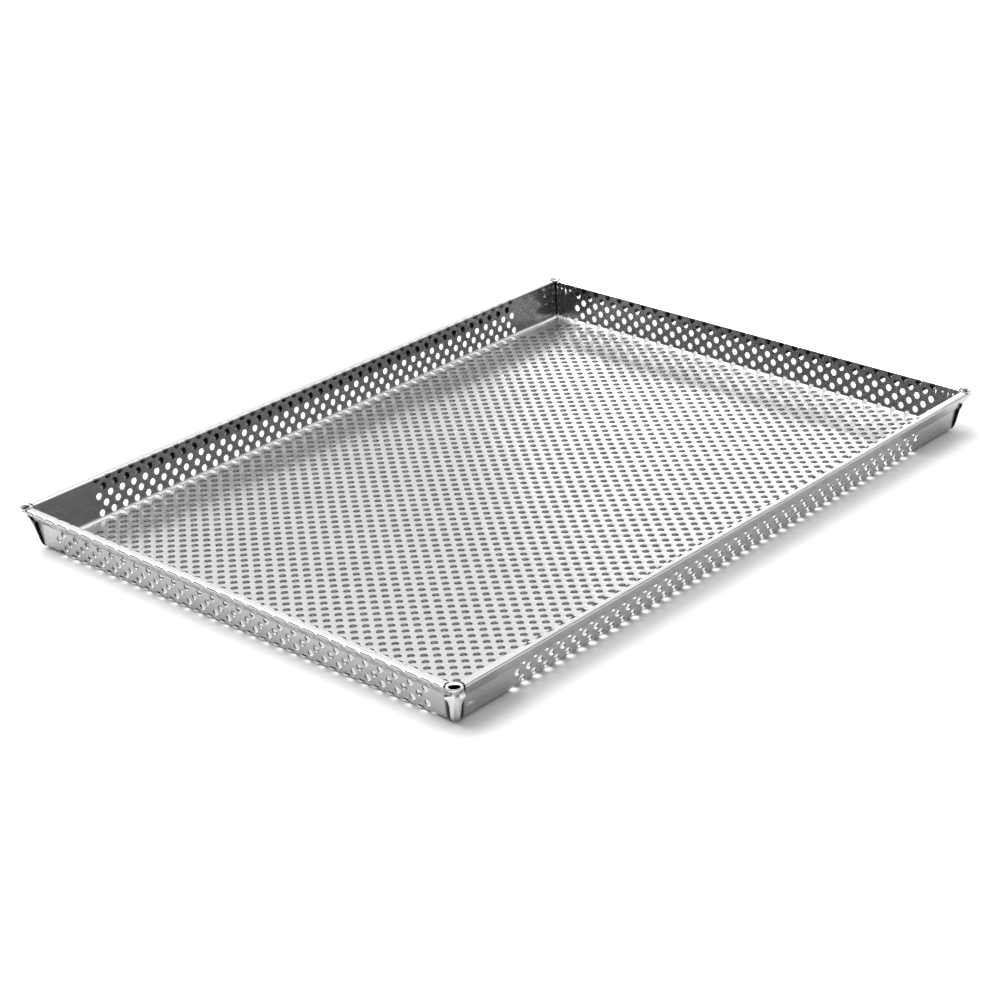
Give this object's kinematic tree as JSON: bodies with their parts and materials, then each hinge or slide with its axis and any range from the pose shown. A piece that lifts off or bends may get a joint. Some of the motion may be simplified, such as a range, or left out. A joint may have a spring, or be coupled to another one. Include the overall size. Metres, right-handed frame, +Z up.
{
  "type": "baguette tray",
  "caption": "Flat perforated metal baking tray with low perforated walls, a folded rim and pinched corners, for baguettes and rolls.",
  "frame": {"origin": "under the middle of the floor, on the surface that the tray stands on", "axes": "+X along the long side, +Y along the short side, +Z up out of the open top"},
  "size_m": [0.4628, 0.3328, 0.025],
  "materials": {
    "perforated_sheet": "bright rolled sheet, punched",
    "folded_rim": "bright rolled sheet, folded",
    "pinched_corner": "bright rolled sheet, crimped"
  },
  "bodies": {
    "root": {"floor_panel": "perforated_sheet", "front_wall": "perforated_sheet", "back_wall": "perforated_sheet", "left_wall": "perforated_sheet", "right_wall": "perforated_sheet", "front_rim": "folded_rim", "back_rim": "folded_rim", "left_rim": "folded_rim", "right_rim": "folded_rim", "front_left_corner_fold": "pinched_corner", "front_right_corner_fold": "pinched_corner", "back_left_corner_fold": "pinched_corner", "back_right_corner_fold": "pinched_corner"}
  },
  "joints": []
}
